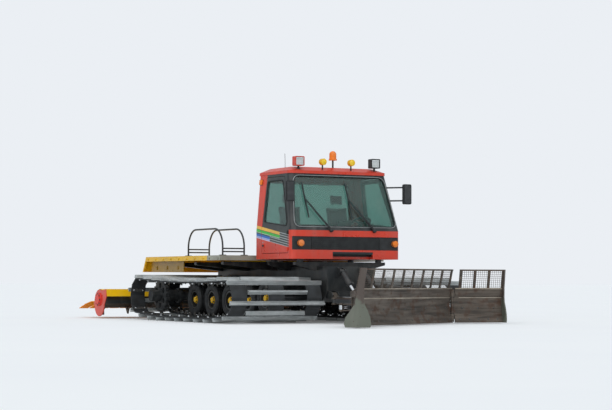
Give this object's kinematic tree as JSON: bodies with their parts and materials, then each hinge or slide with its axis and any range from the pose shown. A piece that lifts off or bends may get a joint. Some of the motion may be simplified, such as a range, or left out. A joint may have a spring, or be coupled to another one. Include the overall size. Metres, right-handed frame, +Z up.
{
  "type": "snowcat groomer",
  "caption": "Tracked snow groomer with a hollow two-seat cab, load deck, folding winged front blade on a lift, angle and tilt linkage, and a lifting rear tiller with a spinning rotor.",
  "frame": {"origin": "middle of the overall box at ground level, under the tracks", "axes": "+X to the machine's left, +Y to its rear, +Z up; the cab and the blade face -Y"},
  "size_m": [4.7406, 8.5782, 2.7113],
  "materials": {
    "amber_plastic": "gloss",
    "black_paint": "satin",
    "black_plastic": "matt",
    "cast_iron": "as cast",
    "chrome_rod": "polished",
    "glass": "clear",
    "grey_paint": "satin",
    "orange_plastic": "matt",
    "red_paint": "satin",
    "red_plastic": "matt",
    "rubber": "matt",
    "seat_cloth": "woven",
    "track_rubber": "matt",
    "worn_steel": "worn",
    "yellow_paint": "satin"
  },
  "bodies": {
    "chassis": {"chassis_tub": "black_paint", "engine_block": "cast_iron", "track_right": "track_rubber", "track_left": "track_rubber", "road_tyres": "rubber", "road_wheels": "yellow_paint", "drive_sprockets": "black_plastic", "swing_arms": "black_paint", "cab_body": "red_paint", "cab_front_panel": "red_paint", "cab_grille": "black_plastic", "windscreen_frame": "black_paint", "cab_roof": "red_paint", "cab_glass": "glass", "cab_seats": "seat_cloth", "cab_console": "black_plastic", "front_lamps": "amber_plastic", "roof_lamps": "black_plastic", "roof_beacon": "amber_plastic", "mirrors": "black_plastic", "wipers": "black_plastic", "deck_front": "grey_paint", "deck_bed": "yellow_paint", "deck_rails": "black_paint"},
    "door_right": {"door_right": "red_paint", "door_glass_right": "glass"},
    "door_left": {"door_left": "red_paint", "door_glass_left": "glass"},
    "push_frame": {"push_frame": "worn_steel"},
    "swivel_head": {"swivel_head": "worn_steel"},
    "blade": {"blade_middle": "worn_steel"},
    "wing_right": {"wing_right": "worn_steel"},
    "wing_left": {"wing_left": "worn_steel"},
    "tiller": {"tiller_frame": "black_paint", "tiller_hood": "yellow_paint", "tiller_caps": "red_plastic", "finisher_mat": "orange_plastic"},
    "tiller_rotor": {"tiller_rotor": "worn_steel"},
    "lift_barrel_right": {"lift_barrel_right": "black_paint"},
    "lift_rod_right": {"lift_rod_right": "chrome_rod"},
    "lift_barrel_left": {"lift_barrel_left": "black_paint"},
    "lift_rod_left": {"lift_rod_left": "chrome_rod"},
    "angle_barrel_right": {"angle_barrel_right": "black_paint"},
    "angle_rod_right": {"angle_rod_right": "chrome_rod"},
    "angle_barrel_left": {"angle_barrel_left": "black_paint"},
    "angle_rod_left": {"angle_rod_left": "chrome_rod"},
    "tilt_barrel": {"tilt_barrel": "black_paint"},
    "tilt_rod": {"tilt_rod": "chrome_rod"},
    "wing_barrel_right": {"wing_barrel_right": "black_paint"},
    "wing_rod_right": {"wing_rod_right": "chrome_rod"},
    "wing_barrel_left": {"wing_barrel_left": "black_paint"},
    "wing_rod_left": {"wing_rod_left": "chrome_rod"},
    "tiller_barrel": {"tiller_barrel": "black_paint"},
    "tiller_rod": {"tiller_rod": "chrome_rod"}
  },
  "joints": [
    {"name": "door_right_hinge", "type": "hinge", "parent": "chassis", "child": "door_right", "pos_m": [-0.98, -1.25886, 1.3], "axis": [0, 0, 1], "range_deg": [0, 75]},
    {"name": "door_left_hinge", "type": "hinge", "parent": "chassis", "child": "door_left", "pos_m": [0.98, -1.25886, 1.3], "axis": [0, 0, -1], "range_deg": [0, 75]},
    {"name": "blade_lift", "type": "hinge", "parent": "chassis", "child": "push_frame", "pos_m": [0, -1.58286, 0.43], "axis": [-1, 0, 0], "range_deg": [-4, 24]},
    {"name": "blade_angle", "type": "hinge", "parent": "push_frame", "child": "swivel_head", "pos_m": [0, -2.43286, 0.355], "axis": [0, 0, 1], "range_deg": [-54, 0]},
    {"name": "blade_tilt", "type": "hinge", "parent": "swivel_head", "child": "blade", "pos_m": [0.0908, -2.61106, 0.34], "axis": [0.454, -0.891, 0], "range_deg": [-8, 8]},
    {"name": "wing_right_fold", "type": "hinge", "parent": "blade", "child": "wing_right", "pos_m": [-0.99629, -3.45116, 0.28], "axis": [0, 0, 1], "range_deg": [-38, 20]},
    {"name": "wing_left_fold", "type": "hinge", "parent": "blade", "child": "wing_left", "pos_m": [1.40942, -2.22538, 0.28], "axis": [0, 0, -1], "range_deg": [-38, 20]},
    {"name": "tiller_lift", "type": "hinge", "parent": "chassis", "child": "tiller", "pos_m": [0, 2.56714, 0.43], "axis": [1, 0, 0], "range_deg": [-5, 20]},
    {"name": "tiller_rotor_spin", "type": "hinge", "parent": "tiller", "child": "tiller_rotor", "pos_m": [0, 3.21714, 0.265], "axis": [1, 0, 0], "continuous": true},
    {"name": "lift_barrel_right_swing", "type": "hinge", "parent": "chassis", "child": "lift_barrel_right", "pos_m": [-0.19, -1.58286, 0.8], "axis": [-1, 0, 0], "range_deg": [-2.3, 13.76]},
    {"name": "lift_rod_right_slide", "type": "slide", "parent": "lift_barrel_right", "child": "lift_rod_right", "axis": [0, -0.779, -0.627], "range_m": [-0.12914, 0.02161]},
    {"name": "lift_barrel_left_swing", "type": "hinge", "parent": "chassis", "child": "lift_barrel_left", "pos_m": [0.19, -1.58286, 0.8], "axis": [-1, 0, 0], "range_deg": [-2.3, 13.76]},
    {"name": "lift_rod_left_slide", "type": "slide", "parent": "lift_barrel_left", "child": "lift_rod_left", "axis": [0, -0.779, -0.627], "range_m": [-0.12914, 0.02161]},
    {"name": "angle_barrel_right_swing", "type": "hinge", "parent": "push_frame", "child": "angle_barrel_right", "pos_m": [-0.47, -1.85286, 0.35], "axis": [0, 0, 1], "range_deg": [-1.94, 0.01]},
    {"name": "angle_rod_right_slide", "type": "slide", "parent": "angle_barrel_right", "child": "angle_rod_right", "axis": [0.2904, -0.9569, 0], "range_m": [-0.283, 0.0001]},
    {"name": "angle_barrel_left_swing", "type": "hinge", "parent": "push_frame", "child": "angle_barrel_left", "pos_m": [0.47, -1.85286, 0.35], "axis": [0, 0, 1], "range_deg": [-0.01, 3.18]},
    {"name": "angle_rod_left_slide", "type": "slide", "parent": "angle_barrel_left", "child": "angle_rod_left", "axis": [-0.3074, -0.9516, 0], "range_m": [-0.0001, 0.28073]},
    {"name": "tilt_barrel_swing", "type": "hinge", "parent": "swivel_head", "child": "tilt_barrel", "pos_m": [-0.02242, -2.71926, 0.565], "axis": [0.454, -0.891, 0], "range_deg": [-5.74, 5.74]},
    {"name": "tilt_rod_slide", "type": "slide", "parent": "tilt_barrel", "child": "tilt_rod", "axis": [0.8889, 0.4529, -0.0688], "range_m": [-0.02998, 0.02998]},
    {"name": "wing_barrel_right_swing", "type": "hinge", "parent": "blade", "child": "wing_barrel_right", "pos_m": [-0.42934, -3.02199, 0.28], "axis": [0, 0, 1], "range_deg": [-6.67, 3.51]},
    {"name": "wing_rod_right_slide", "type": "slide", "parent": "wing_barrel_right", "child": "wing_rod_right", "axis": [-0.8887, -0.4584, 0], "range_m": [-0.0947, 0.04989]},
    {"name": "wing_barrel_left_swing", "type": "hinge", "parent": "blade", "child": "wing_barrel_left", "pos_m": [0.72897, -2.4318, 0.28], "axis": [0, 0, -1], "range_deg": [-6.67, 3.51]},
    {"name": "wing_rod_left_slide", "type": "slide", "parent": "wing_barrel_left", "child": "wing_rod_left", "axis": [0.8933, 0.4495, 0], "range_m": [-0.0947, 0.04989]},
    {"name": "tiller_barrel_swing", "type": "hinge", "parent": "chassis", "child": "tiller_barrel", "pos_m": [0, 2.56714, 0.8], "axis": [1, 0, 0], "range_deg": [-2.94, 11.71]},
    {"name": "tiller_rod_slide", "type": "slide", "parent": "tiller_barrel", "child": "tiller_rod", "axis": [0, 0.8555, -0.5178], "range_m": [-0.11533, 0.02891]}
  ],
  "couplings": [
    {"joint": "lift_barrel_right_swing", "follows": "blade_lift", "ratio": 0.57271},
    {"joint": "lift_rod_right_slide", "follows": "blade_lift", "m_per_rad": -0.30807},
    {"joint": "lift_barrel_left_swing", "follows": "blade_lift", "ratio": 0.57271},
    {"joint": "lift_rod_left_slide", "follows": "blade_lift", "m_per_rad": -0.30807},
    {"joint": "angle_barrel_right_swing", "follows": "blade_angle", "ratio": 0.035803},
    {"joint": "angle_rod_right_slide", "follows": "blade_angle", "m_per_rad": 0.30017},
    {"joint": "angle_barrel_left_swing", "follows": "blade_angle", "ratio": -0.058762},
    {"joint": "angle_rod_left_slide", "follows": "blade_angle", "m_per_rad": -0.29775},
    {"joint": "tilt_barrel_swing", "follows": "blade_tilt", "ratio": 0.71586},
    {"joint": "tilt_rod_slide", "follows": "blade_tilt", "m_per_rad": -0.21402},
    {"joint": "wing_barrel_right_swing", "follows": "wing_right_fold", "ratio": 0.17517},
    {"joint": "wing_rod_right_slide", "follows": "wing_right_fold", "m_per_rad": 0.14264},
    {"joint": "wing_barrel_left_swing", "follows": "wing_left_fold", "ratio": 0.17517},
    {"joint": "wing_rod_left_slide", "follows": "wing_left_fold", "m_per_rad": 0.14264},
    {"joint": "tiller_barrel_swing", "follows": "tiller_lift", "ratio": 0.58504},
    {"joint": "tiller_rod_slide", "follows": "tiller_lift", "m_per_rad": -0.3301}
  ]
}
